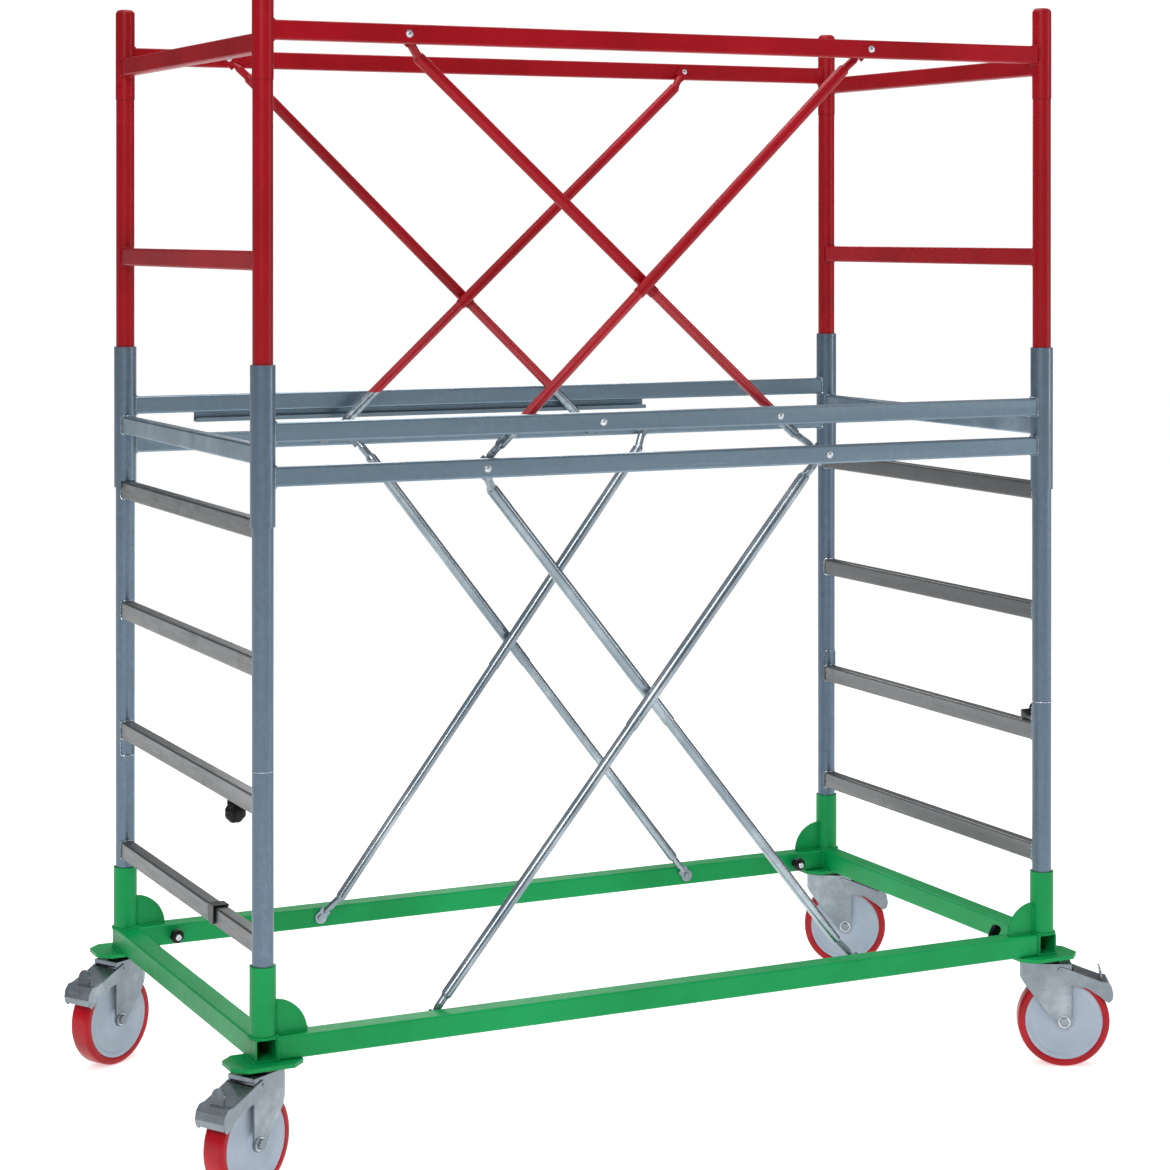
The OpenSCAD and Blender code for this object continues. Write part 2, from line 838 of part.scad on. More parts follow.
module fork() {
    difference() {
        union() {
            intersection() {
                union() {
                    translate([-15, 0, 60]) cylinder(r = fork_out, h = fork_top - 60);
                    translate([-15, -fork_out, 60]) {
                        cube([trail + leg_r + 15, 2 * fork_out, fork_top - 60]);
                    }
                }
                rotate([90, 0, 0]) linear_extrude(4 * fork_out, center = true) union() {
                    polygon([
                        [-fork_back - 2, fork_top - 33], [-fork_back - 2, fork_top + 1],
                        [trail + leg_r, fork_top + 1], [trail + leg_r, axle_z],
                        [trail - leg_r * 0.77, axle_z - leg_r * 0.64]
                    ]);
                    translate([trail, axle_z]) circle(r = leg_r);
                }
            }
        }
        difference() {
            union() {
                translate([-15, 0, 0]) cylinder(r = fork_in, h = fork_top - crown_t);
                translate([-15, -fork_in, 0]) cube([200, 2 * fork_in, fork_top - crown_t]);
            }
        }
        translate([0, 0, fork_top - 40]) cylinder(d = king_d + 2 * slip, h = 50);
        translate([trail, 0, axle_z]) rotate([90, 0, 0]) {
            cylinder(d = axle_d, h = 4 * fork_out, center = true);
        }
        translate([pivot_x, 0, pivot_z]) rotate([90, 0, 0]) {
            cylinder(d = 6, h = 4 * fork_out, center = true);
        }
    }
    translate([trail, 0, axle_z]) rotate([90, 0, 0]) {
        cylinder(d = axle_d, h = 2 * fork_out + 10, center = true);
    }
    hex_head(fork_out, fork_out + 8);
    hex_head(-fork_out - 8, -fork_out);
    translate([pivot_x, 0, pivot_z]) rotate([90, 0, 0]) {
        cylinder(d = 6, h = 2 * pedal_out + 3, center = true);
    }
}

module tyre() {
    r1 = wheel_r;
    r0 = wheel_r - tread_t;
    w = wheel_w / 2;
    translate([trail, 0, axle_z]) rotate([90, 0, 0]) rotate_extrude($fn = 180) polygon([
        [r0, -w + 2], [r0 + 3, -w], [r1 - 8, -w], [r1 - 3, -w + 3], [r1, -w + 10],
        [r1, w - 10], [r1 - 3, w - 3], [r1 - 8, w], [r0 + 3, w], [r0, w - 2]
    ]);
}

module core() {
    r0 = wheel_r - tread_t - eps;
    w = wheel_w / 2;
    hub = fork_in - 0.5;
    translate([trail, 0, axle_z]) rotate([90, 0, 0]) rotate_extrude($fn = 180) polygon([
        [axle_d / 2 + slip, -hub], [20, -hub], [24, -w + 5], [r0 - 10, -w + 4], [r0 - 6, -w + 2],
        [r0, -w + 2], [r0, w - 2], [r0 - 6, w - 2], [r0 - 10, w - 4], [24, w - 5],
        [20, hub], [axle_d / 2 + slip, hub]
    ]);
}

// Point beside the wheel, given from the axle for a wheel of 200
function by_wheel(a, b) = [trail + a * wheel_r / 100, axle_z + b * wheel_r / 100];

module pedal() {
    difference() {
        union() {
            for (s = [-1, 1]) {
                translate([0, s * (pedal_in + pedal_out) / 2, 0]) rotate([90, 0, 0]) {
                    linear_extrude(3, center = true) union() {
                        translate([pivot_x, pivot_z]) circle(r = 9);
                        polygon([
                            [pivot_x - 9, pivot_z], [pivot_x, pivot_z + 9],
                            by_wheel(14, 114), by_wheel(44, 102), by_wheel(80, 89),
                            by_wheel(94, 88), by_wheel(103, 78), by_wheel(106, 63),
                            by_wheel(103, 50), by_wheel(96, 44), by_wheel(86, 50),
                            by_wheel(77, 58), by_wheel(48, 76), by_wheel(16, 82),
                            [pivot_x - 2, pivot_z - 11]
                        ]);
                    }
                }
            }
            rotate([90, 0, 0]) linear_extrude(2 * pedal_out - 2, center = true) polygon([
                by_wheel(20, 108.5), by_wheel(44, 99.5), by_wheel(80, 86.5), by_wheel(94, 85.5),
                by_wheel(100, 77), by_wheel(103, 63), by_wheel(100, 50), by_wheel(104, 50),
                by_wheel(106, 63), by_wheel(103, 78), by_wheel(95, 89), by_wheel(80, 90.5),
                by_wheel(44, 103), by_wheel(20, 112)
            ]);
            translate([by_wheel(82, 88)[0], 0, by_wheel(82, 88)[1]]) rotate([0, -12, 0]) {
                translate([0, -16, 0]) cube([4, 32, 16]);
                translate([0, 0, 16]) rotate([0, 90, 0]) cylinder(r = 16, h = 4);
            }
        }
        translate([pivot_x, 0, pivot_z]) rotate([90, 0, 0]) {
            cylinder(d = 6 + 2 * slip, h = 4 * pedal_out, center = true);
        }
    }
}

module fork_fl() {
    color(zinc) caster_at(-1, -1) fork();
}

module tyre_fl() {
    color(tread) caster_at(-1, -1) tyre();
}

module core_fl() {
    color(nylon) caster_at(-1, -1) core();
}

module pedal_fl() {
    color(zinc) caster_at(-1, -1) pedal();
}

module fork_fr() {
    color(zinc) caster_at(1, -1) fork();
}

module tyre_fr() {
    color(tread) caster_at(1, -1) tyre();
}

module core_fr() {
    color(nylon) caster_at(1, -1) core();
}

module pedal_fr() {
    color(zinc) caster_at(1, -1) pedal();
}

module fork_rl() {
    color(zinc) caster_at(-1, 1) fork();
}

module tyre_rl() {
    color(tread) caster_at(-1, 1) tyre();
}

module core_rl() {
    color(nylon) caster_at(-1, 1) core();
}

module pedal_rl() {
    color(zinc) caster_at(-1, 1) pedal();
}

module fork_rr() {
    color(zinc) caster_at(1, 1) fork();
}

module tyre_rr() {
    color(tread) caster_at(1, 1) tyre();
}

module core_rr() {
    color(nylon) caster_at(1, 1) core();
}

module pedal_rr() {
    color(zinc) caster_at(1, 1) pedal();
}

// ---- all parts ----

side_tubes();
long_rails();
sockets();
gussets();
corner_plates();
base_fixings();
clamp_front_left();
clamp_front_right();
clamp_rear_left();
clamp_rear_right();
left_uprights();
left_rungs();
right_uprights();
right_rungs();
left_knob();
right_knob();
rung_cap();
sleeves();
platform_rails();
platform_rivets();
left_guard_tubes();
left_guard_rung();
right_guard_tubes();
right_guard_rung();
top_posts();
top_rails();
top_rivets();
front_red_a_outer();
front_red_a_inner();
front_red_b_outer();
front_red_b_inner();
rear_red_a_outer();
rear_red_a_inner();
rear_red_b_outer();
rear_red_b_inner();
front_grey_a_outer();
front_grey_a_inner();
front_grey_b_outer();
front_grey_b_inner();
rear_grey_a_outer();
rear_grey_a_inner();
rear_grey_b_outer();
rear_grey_b_inner();
fork_fl();
tyre_fl();
core_fl();
pedal_fl();
fork_fr();
tyre_fr();
core_fr();
pedal_fr();
fork_rl();
tyre_rl();
core_rl();
pedal_rl();
fork_rr();
tyre_rr();
core_rr();
pedal_rr();
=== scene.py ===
import math

import bmesh
import bpy
from mathutils import Matrix, Vector


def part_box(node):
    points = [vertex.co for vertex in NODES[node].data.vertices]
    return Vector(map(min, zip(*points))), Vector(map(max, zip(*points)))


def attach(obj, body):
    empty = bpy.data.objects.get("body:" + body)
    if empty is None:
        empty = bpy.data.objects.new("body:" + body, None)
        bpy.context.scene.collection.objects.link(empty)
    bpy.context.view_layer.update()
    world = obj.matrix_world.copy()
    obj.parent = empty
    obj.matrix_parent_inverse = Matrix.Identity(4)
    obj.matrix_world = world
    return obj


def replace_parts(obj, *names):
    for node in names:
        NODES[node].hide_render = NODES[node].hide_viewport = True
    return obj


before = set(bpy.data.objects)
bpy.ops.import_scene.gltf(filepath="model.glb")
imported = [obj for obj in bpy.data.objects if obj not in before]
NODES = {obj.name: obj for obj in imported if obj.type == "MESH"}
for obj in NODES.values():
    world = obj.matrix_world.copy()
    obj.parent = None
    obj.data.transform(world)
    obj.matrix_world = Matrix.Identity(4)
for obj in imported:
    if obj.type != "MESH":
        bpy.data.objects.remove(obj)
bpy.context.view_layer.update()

SHARP = math.radians(38)        # edges steeper than this stay sharp


# ---------------------------------------------------------------- materials

class Graph:
    """A small helper round one material's node tree."""

    def __init__(self, name):
        self.mat = bpy.data.materials.new(name)
        self.mat.use_nodes = True
        self.tree = self.mat.node_tree
        self.tree.nodes.clear()
        self.out = self.add("ShaderNodeOutputMaterial")
        self.bsdf = self.add("ShaderNodeBsdfPrincipled")
        self.link(self.bsdf.outputs[0], self.out.inputs["Surface"])
        self.pos = self.add("ShaderNodeTexCoord").outputs["Object"]

    def add(self, kind, **inputs):
        node = self.tree.nodes.new(kind)
        for key, value in inputs.items():
            node.inputs[key.replace("_", " ")].default_value = value
        return node

    def link(self, a, b):
        self.tree.links.new(a, b)

    def feed(self, socket, v):
        """Gives a socket a number, a colour or the output of another node."""
        if isinstance(v, (int, float)):
            socket.default_value = v
        elif isinstance(v, tuple):
            socket.default_value = (*v, 1.0)
        else:
            self.link(v, socket)

    def scaled(self, sx, sy, sz):
        node = self.add("ShaderNodeMapping")
        node.inputs["Scale"].default_value = (sx, sy, sz)
        self.link(self.pos, node.inputs["Vector"])
        return node.outputs[0]

    def noise(self, scale, detail=3.0, rough=0.5, vector=None):
        node = self.add("ShaderNodeTexNoise", Scale=scale, Detail=detail, Roughness=rough)
        self.link(vector or self.pos, node.inputs["Vector"])
        return node.outputs["Fac"]

    def cells(self, scale):
        node = self.add("ShaderNodeTexVoronoi", Scale=scale)
        self.link(self.pos, node.inputs["Vector"])
        return node.outputs["Color"]

    def ramp(self, fac, stops):
        node = self.add("ShaderNodeValToRGB")
        ramp = node.color_ramp
        while len(ramp.elements) < len(stops):
            ramp.elements.new(0.5)
        for element, (at, colour) in zip(ramp.elements, stops):
            element.position = at
            element.color = (*colour, 1.0)
        self.link(fac, node.inputs["Fac"])
        return node.outputs["Color"]

    def span(self, fac, lo, hi, a=0.0, b=1.0):
        """Maps lo..hi to a..b."""
        node = self.add("ShaderNodeMapRange")
        for i, v in enumerate((lo, hi, a, b)):
            node.inputs[i + 1].default_value = v
        self.link(fac, node.inputs[0])
        return node.outputs[0]

    def math(self, op, a, b):
        node = self.add("ShaderNodeMath")
        node.operation = op
        for socket, v in zip(node.inputs, (a, b)):
            self.feed(socket, v)
        return node.outputs[0]

    def mix(self, fac, a, b, mode="MIX"):
        node = self.add("ShaderNodeMix")
        node.data_type = "RGBA"
        node.blend_type = mode
        for socket, v in ((node.inputs[0], fac), (node.inputs[6], a), (node.inputs[7], b)):
            self.feed(socket, v)
        return node.outputs[2]

    def edges(self, radius):
        """1 on convex and concave edges, 0 on flats."""
        bevel = self.add("ShaderNodeBevel", Radius=radius)
        bevel.samples = 4
        flat = self.add("ShaderNodeNewGeometry").outputs["Normal"]
        dot = self.add("ShaderNodeVectorMath")
        dot.operation = "DOT_PRODUCT"
        self.link(bevel.outputs[0], dot.inputs[0])
        self.link(flat, dot.inputs[1])
        return self.span(dot.outputs["Value"], 0.995, 0.8)

    def bump(self, height, strength, distance, rounded=0.0):
        node = self.add("ShaderNodeBump", Strength=strength, Distance=distance)
        self.link(height, node.inputs["Height"])
        if rounded:
            bevel = self.add("ShaderNodeBevel", Radius=rounded)
            bevel.samples = 4
            self.link(bevel.outputs[0], node.inputs["Normal"])
        self.link(node.outputs[0], self.bsdf.inputs["Normal"])

    def set(self, colour, rough, metal, **fixed):
        for key, v in (("Base Color", colour), ("Roughness", rough), ("Metallic", metal)):
            self.feed(self.bsdf.inputs[key], v)
        for key, v in fixed.items():
            self.bsdf.inputs[key.replace("_", " ")].default_value = v
        return self.mat


def paint(name, base, light, dark, gloss):
    """Powder coat: a fine orange peel, slow tone changes, edges lightened as rubbed paint and as painted
    highlight, and a few scuffs.
    """
    g = Graph(name)
    slow = g.noise(3.5, 4.0, 0.6)
    colour = g.ramp(slow, [(0.30, dark), (0.52, base), (0.78, light)])
    fine = g.noise(60.0, 5.0, 0.65)
    colour = g.mix(g.span(fine, 0.62, 0.80, 0.0, 0.12), colour, dark)
    # lighter edges where the noise allows: partly rubbed paint, partly painted highlight along the edges
    edge_wear_and_highlight_mask = g.math("MULTIPLY", g.edges(0.0012), g.span(g.noise(28.0, 4.0, 0.7), 0.50, 0.66))
    edge_wear_and_highlight_colour = tuple(min(1.0, c * 1.35 + 0.04) for c in base)
    colour = g.mix(g.math("MULTIPLY", edge_wear_and_highlight_mask, 0.55), colour, edge_wear_and_highlight_colour)
    scuff = g.span(g.noise(9.0, 6.0, 0.75, g.scaled(1.0, 1.0, 0.35)), 0.66, 0.74)
    rough = g.math("ADD", g.span(fine, 0.3, 0.7, gloss - 0.05, gloss + 0.06), g.math("MULTIPLY", scuff, 0.14))
    peel = g.math("ADD", g.noise(420.0, 2.0, 0.5), g.math("MULTIPLY", g.noise(110.0, 2.0, 0.5), 0.6))
    g.bump(peel, 0.05, 0.0004, rounded=0.0012)
    return g.set(colour, rough, 0.0, Coat_Weight=0.04, Coat_Roughness=0.15, Specular_IOR_Level=0.20)


def steel(name, base, light, dark, stretch=(1.0, 1.0, 1.0), gloss=0.34, spangle=0.03, grain=220.0,
          relief=0.05, tube=False):
    """Galvanised steel: faint spangle, drawing marks along the tube, dull spots; flat parts get a painted
    highlight on their edges, a tube has no edges.
    """
    g = Graph(name)
    along = g.scaled(*stretch)
    slow = g.noise(5.0, 4.0, 0.6, along)
    colour = g.ramp(slow, [(0.28, dark), (0.52, base), (0.80, light)])
    crystal = g.cells(95.0)
    grey = g.add("ShaderNodeRGBToBW")
    g.link(crystal, grey.inputs[0])
    shade = g.span(grey.outputs[0], 0.2, 0.8, 1.0 - spangle, 1.0 + spangle)
    tone = g.add("ShaderNodeCombineColor")
    for i in range(3):
        g.link(shade, tone.inputs[i])
    colour = g.mix(1.0, colour, tone.outputs[0], "MULTIPLY")
    marks = g.noise(grain, 3.0, 0.6, along)
    dull = g.span(g.noise(14.0, 5.0, 0.7), 0.55, 0.75)
    colour = g.mix(g.math("MULTIPLY", dull, 0.22), colour, dark)
    # painted highlight: the edges of flat parts are lightened towards the light tone
    if not tube:
        colour = g.mix(g.math("MULTIPLY", g.edges(0.0010), 0.55), colour, light)
    rough = g.math("ADD", g.span(marks, 0.3, 0.7, gloss - 0.06, gloss + 0.07), g.math("MULTIPLY", dull, 0.10))
    g.bump(marks, relief, 0.0003, rounded=0.0 if tube else 0.0010)
    return g.set(colour, rough, 0.85, Specular_IOR_Level=0.5)


def plastic(name, base, light, gloss):
    """Moulded black plastic with a fine grain, and edges paler as rubbed plastic and as painted highlight."""
    g = Graph(name)
    colour = g.ramp(g.noise(40.0, 4.0, 0.6), [(0.35, base), (0.75, light)])
    edge_wear_and_highlight_colour = tuple(c * 1.6 for c in light)
    # pale edges: partly rubbed plastic, partly painted highlight
    colour = g.mix(g.math("MULTIPLY", g.edges(0.0008), 0.20), colour, edge_wear_and_highlight_colour)
    rough = g.span(g.noise(90.0, 3.0, 0.6), 0.3, 0.7, gloss - 0.06, gloss + 0.08)
    g.bump(g.noise(650.0, 2.0, 0.5), 0.10, 0.0003, rounded=0.0009)
    return g.set(colour, rough, 0.0, Specular_IOR_Level=0.22)


def tread_mat():
    """Cast polyurethane: saturated red, a little deeper inside, dusty where it runs."""
    g = Graph("red_tread")
    reds = [(0.30, (0.30, 0.001, 0.006)), (0.55, (0.42, 0.002, 0.010)), (0.80, (0.50, 0.006, 0.016))]
    colour = g.ramp(g.noise(12.0, 4.0, 0.6), reds)
    dust = g.span(g.noise(45.0, 6.0, 0.75), 0.56, 0.78)
    colour = g.mix(g.math("MULTIPLY", dust, 0.16), colour, (0.34, 0.10, 0.10))
    rough = g.span(g.noise(70.0, 3.0, 0.6), 0.3, 0.7, 0.26, 0.36)
    rough = g.math("ADD", rough, g.math("MULTIPLY", dust, 0.2))
    g.bump(g.noise(300.0, 3.0, 0.6), 0.08, 0.0004)
    return g.set(colour, rough, 0.0, Subsurface_Weight=0.06, Subsurface_Scale=0.006, Specular_IOR_Level=0.28)


def nylon_mat():
    """Moulded polyamide: cool grey, faint flow marks and tiny scratches."""
    g = Graph("grey_nylon")
    greys = [(0.30, (0.33, 0.39, 0.47)), (0.55, (0.38, 0.44, 0.53)), (0.80, (0.44, 0.50, 0.59))]
    colour = g.ramp(g.noise(7.0, 4.0, 0.6), greys)
    marks = g.noise(160.0, 4.0, 0.7, g.scaled(1.0, 1.0, 0.2))
    colour = g.mix(g.span(marks, 0.66, 0.82, 0.0, 0.22), colour, (0.36, 0.39, 0.44))
    rough = g.span(g.noise(60.0, 3.0, 0.6), 0.3, 0.7, 0.36, 0.48)
    g.bump(g.noise(240.0, 3.0, 0.6), 0.06, 0.0003)
    return g.set(colour, rough, 0.0, Subsurface_Weight=0.15, Subsurface_Scale=0.012, Specular_IOR_Level=0.5)


GREEN = paint("green_paint", (0.0008, 0.285, 0.072), (0.002, 0.335, 0.092), (0.0004, 0.235, 0.056),
              gloss=0.42)
RED = paint("red_paint", (0.290, 0.0015, 0.007), (0.350, 0.004, 0.012), (0.225, 0.0008, 0.004), gloss=0.36)
# one galvanised steel in three tones: painted light and shade for how each part faces the light, rails
# lighter and bluer, rungs darker and greyer
TUBE_Z = steel("galvanised_upright", (0.150, 0.205, 0.262), (0.330, 0.410, 0.490), (0.100, 0.140, 0.185),
               stretch=(1.0, 1.0, 0.05), gloss=0.30, spangle=0.04, tube=True)
TUBE_X = steel("galvanised_rail", (0.190, 0.262, 0.322), (0.360, 0.440, 0.510), (0.135, 0.190, 0.240),
               stretch=(0.05, 1.0, 1.0))
TUBE_Y = steel("galvanised_rung", (0.145, 0.148, 0.150), (0.34, 0.345, 0.35), (0.085, 0.088, 0.092),
               stretch=(1.0, 0.05, 1.0))
BRACE = steel("galvanised_brace", (0.27, 0.32, 0.36), (0.52, 0.58, 0.63), (0.17, 0.21, 0.25),
              gloss=0.24, grain=60.0, relief=0.03, tube=True)
ZINC = steel("zinc_sheet", (0.235, 0.270, 0.300), (0.62, 0.67, 0.72), (0.150, 0.175, 0.200),
             gloss=0.27, spangle=0.02, grain=60.0, relief=0.03, tube=True)
BRIGHT = steel("zinc_bright", (0.55, 0.58, 0.62), (0.85, 0.87, 0.90), (0.38, 0.41, 0.45),
               gloss=0.20, spangle=0.02, grain=60.0, relief=0.04)
BLACK = plastic("black_plastic", (0.0025, 0.0025, 0.003), (0.008, 0.008, 0.009), gloss=0.30)
TREAD = tread_mat()
NYLON = nylon_mat()


def painted_down_to(name, level):
    """Red paint above a height of the resting tube, bare galvanised steel below it."""
    g = Graph(name)
    axis = g.add("ShaderNodeSeparateXYZ")
    g.link(g.pos, axis.inputs[0])
    wobble = g.math("MULTIPLY", g.noise(120.0, 3.0, 0.6), 0.004)
    height = g.math("ADD", axis.outputs["Z"], wobble)
    bare = g.span(height, level + 0.0030, level + 0.0010)
    slow = g.noise(3.5, 4.0, 0.6)
    reds = [(0.30, (0.260, 0.001, 0.006)), (0.52, (0.330, 0.003, 0.010)), (0.78, (0.400, 0.008, 0.018))]
    red = g.ramp(slow, reds)
    marks = g.noise(60.0, 3.0, 0.6)
    zinc = g.ramp(marks, [(0.28, (0.17, 0.21, 0.25)), (0.52, (0.27, 0.32, 0.36)), (0.80, (0.52, 0.58, 0.63))])
    g.bump(marks, 0.03, 0.0003)
    rough = g.span(marks, 0.3, 0.7, 0.22, 0.34)
    return g.set(g.mix(bare, red, zinc), rough, g.math("MULTIPLY", bare, 0.9), Specular_IOR_Level=0.5)


def wear(node, mat):
    """Gives a carried-over CAD node its material."""
    slots = NODES[node].data.materials
    slots.clear()
    slots.append(mat)


# ---------------------------------------------------------------- measures from the frame

def islands(node):
    """Boxes of the separate solids of a node."""
    me = NODES[node].data
    bm = bmesh.new()
    bm.from_mesh(me)
    bmesh.ops.remove_doubles(bm, verts=bm.verts, dist=1e-6)
    bm.verts.ensure_lookup_table()
    seen, found = set(), []
    for start in bm.verts:
        if start.index in seen:
            continue
        stack, lo, hi = [start], Vector((9, 9, 9)), Vector((-9, -9, -9))
        seen.add(start.index)
        while stack:
            v = stack.pop()
            lo = Vector(map(min, lo, v.co))
            hi = Vector(map(max, hi, v.co))
            for e in v.link_edges:
                w = e.other_vert(v)
                if w.index not in seen:
                    seen.add(w.index)
                    stack.append(w)
        found.append((lo, hi))
    bm.free()
    return found


def mid(box):
    return (box[0] + box[1]) / 2


# ---------------------------------------------------------------- shape helpers

STEP = 0.0013        # distance between the points of a weld path


def piece(name, bm, mat, body):
    """Turns a bmesh into a named piece that rides on a body."""
    bmesh.ops.recalc_face_normals(bm, faces=bm.faces)
    me = bpy.data.meshes.new(name)
    bm.to_mesh(me)
    bm.free()
    me.materials.append(mat)
    me.polygons.foreach_set("use_smooth", [True] * len(me.polygons))
    ob = bpy.data.objects.new(name, me)
    bpy.context.scene.collection.objects.link(ob)
    me.set_sharp_from_angle(angle=SHARP)
    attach(ob, body)
    return ob


def skin(bm, rings, closed=False):
    """Joins neighbouring rings of vertices with quads, or with a fan where a ring is a single point."""
    pairs = list(zip(rings, rings[1:]))
    if closed:
        pairs.append((rings[-1], rings[0]))
    for a, b in pairs:
        steps = max(len(a), len(b))
        for i in range(steps):
            j = (i + 1) % steps
            if len(a) == 1:
                bm.faces.new((a[0], b[i], b[j]))
            elif len(b) == 1:
                bm.faces.new((a[i], a[j], b[0]))
            else:
                bm.faces.new((a[i], a[j], b[j], b[i]))


def lathe(bm, profile, matrix, steps=96, closed=False):
    """Turns a profile of (radius, height) round local Z. Radius 0 closes with a fan."""
    rings = []
    for r, h in profile:
        if r < 1e-7:
            rings.append([bm.verts.new(matrix @ Vector((0, 0, h)))])
        else:
            rings.append([bm.verts.new(matrix @ Vector((r * math.cos(a), r * math.sin(a), h)))
                          for a in (2 * math.pi * i / steps for i in range(steps))])
    skin(bm, rings, closed)


def bead(bm, points, radius, closed=True, pitch=0.0032):
    """A weld bead along a path: a tube whose radius ripples like laid drops."""
    count, sides = len(points), 8
    length, rings = 0.0, []
    for i, p in enumerate(points):
        before = points[i - 1] if i or closed else p
        after = points[(i + 1) % count] if i < count - 1 or closed else p
        along = (after - before).normalized()
        if i:
            length += (p - points[i - 1]).length
        side = along.cross(Vector((0.31, 0.57, 0.76))).normalized()
        up = along.cross(side)
        phase = 2 * math.pi * length / pitch
        r = radius * (1 + 0.16 * math.sin(phase) + 0.08 * math.sin(phase * 0.37 + 1.3))
        if not closed:
            r *= min(1.0, 0.45 + 0.25 * i, 0.45 + 0.25 * (count - 1 - i))
        rings.append([bm.verts.new(p + r * (math.cos(a) * side + math.sin(a) * up))
                      for a in (2 * math.pi * k / sides for k in range(sides))])
    skin(bm, rings, closed)
    if not closed:
        bm.faces.new(rings[0])
        bm.faces.new(list(reversed(rings[-1])))


def round_rect(a, b, r, step):
    """Points round a rectangle with rounded corners, about one step apart."""
    out = []
    corners = ((1, 1, 0), (-1, 1, 90), (-1, -1, 180), (1, -1, 270))
    for i, (sx, sy, turn) in enumerate(corners):
        cx, cy = sx * (a / 2 - r), sy * (b / 2 - r)
        n = max(3, int(math.pi / 2 * r / step))
        for k in range(n + 1):
            t = math.radians(turn) + math.pi / 2 * k / n
            out.append((cx + r * math.cos(t), cy + r * math.sin(t)))
        nx = corners[(i + 1) % 4]
        t = math.radians(nx[2])
        end = (nx[0] * (a / 2 - r) + r * math.cos(t), nx[1] * (b / 2 - r) + r * math.sin(t))
        last = out[-1]
        gap = math.hypot(end[0] - last[0], end[1] - last[1])
        for k in range(1, int(gap / step)):
            t = k / int(gap / step)
            out.append((last[0] + (end[0] - last[0]) * t, last[1] + (end[1] - last[1]) * t))
    return out


def saddle(centre, size, tube, towards):
    """Path where a flat tube meets a round upright. towards is the unit direction from the upright."""
    w, h = size
    cross = Vector((-towards.y, towards.x, 0))
    path = []
    for u, v in round_rect(w + 0.002, h + 0.002, 0.0045, STEP):
        reach = math.sqrt(max(tube * tube - u * u, 1e-9)) + 0.0006
        path.append(centre + towards * reach + cross * u + Vector((0, 0, v)))
    return path


def circle_path(centre, radius):
    """Points round a level circle."""
    n = max(24, int(2 * math.pi * radius / STEP))
    return [centre + Vector((radius * math.cos(a), radius * math.sin(a), 0))
            for a in (2 * math.pi * i / n for i in range(n))]


def line_path(a, b):
    """Points along a straight line."""
    n = max(3, int((b - a).length / STEP))
    return [a.lerp(b, i / n) for i in range(n + 1)]


# ---------------------------------------------------------------- the frame's own numbers

UP = islands("left_uprights") + islands("right_uprights")
LADDER_R = (UP[0][1].x - UP[0][0].x) / 2
LEFT, RIGHT = min(mid(b).x for b in UP), max(mid(b).x for b in UP)
FRONT, REAR = min(mid(b).y for b in UP), max(mid(b).y for b in UP)
BEAM_LO, BEAM_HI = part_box("long_rails")[0].z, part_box("long_rails")[1].z
BEAM = BEAM_HI - BEAM_LO
SOCKET_R = (islands("sockets")[0][1].x - islands("sockets")[0][0].x) / 2
SLEEVE = islands("sleeves")
SLEEVE_R = (SLEEVE[0][1].y - SLEEVE[0][0].y) / 2
SLEEVE_LO = SLEEVE[0][0].z
GUARD_R = (islands("left_guard_tubes")[0][1].x - islands("left_guard_tubes")[0][0].x) / 2
POST_R = (islands("top_posts")[0][1].x - islands("top_posts")[0][0].x) / 2
FOOT_Z = (BEAM_LO + BEAM_HI) / 2
CLAMP_R = (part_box("clamp_rear_left")[1].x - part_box("clamp_rear_left")[0].x) / 2
RAIL = (0.028, 0.038)        # rungs and rails: width and height of the flat tube
MIDDLE = (FRONT + REAR) / 2
X = Vector((1, 0, 0))
Y = Vector((0, 1, 0))
CORNERS = {"fl": (LEFT, FRONT), "fr": (RIGHT, FRONT), "rl": (LEFT, REAR), "rr": (RIGHT, REAR)}

# ---------------------------------------------------------------- finishes of the carried-over nodes

for n in NODES:
    if n in ("side_tubes", "long_rails", "sockets", "gussets", "corner_plates"):
        wear(n, GREEN)
    elif n in ("left_uprights", "right_uprights", "sleeves"):
        wear(n, TUBE_Z)
    elif n in ("left_rungs", "right_rungs"):
        wear(n, TUBE_Y)
    elif n == "platform_rails":
        wear(n, TUBE_X)
    elif "grey" in n:
        wear(n, BRACE)
    elif "red" in n and n.endswith("inner"):
        continue
    elif "red" in n or "guard" in n or n in ("top_posts", "top_rails"):
        wear(n, RED)
    elif n.startswith(("fork", "pedal", "base_fix")):
        wear(n, ZINC)
    elif "rivets" in n:
        wear(n, BRIGHT)
    elif n.startswith("tyre"):
        wear(n, TREAD)
    elif n.startswith("core"):
        wear(n, NYLON)
    else:
        wear(n, BLACK)

rails = islands("platform_rails")
upper_top = max(b[1].z for b in rails)
BARE = painted_down_to("red_paint_bare_end", upper_top - 0.001)
for n in NODES:
    if "red" in n and n.endswith("inner"):
        wear(n, BARE)

# ---------------------------------------------------------------- weld beads

TUBE_BEAD = 0.0021          # bead radii: flat tube on an upright
SOCKET_BEAD = 0.0030        # socket on the base
BEAM_BEAD = 0.0026          # long rail on a side tube
GUSSET_BEAD = 0.0022
PLATE_BEAD = 0.0024         # corner plate below the side tube
BASE_PITCH = 0.0042         # drop spacing of the base's heavier beads, round and straight
EDGE_PITCH = 0.0040
GUSSET_HALF = 0.0040        # half a gusset's thickness
SHORT = 0.8                 # a platform rail shorter than this isn't welded at both ends


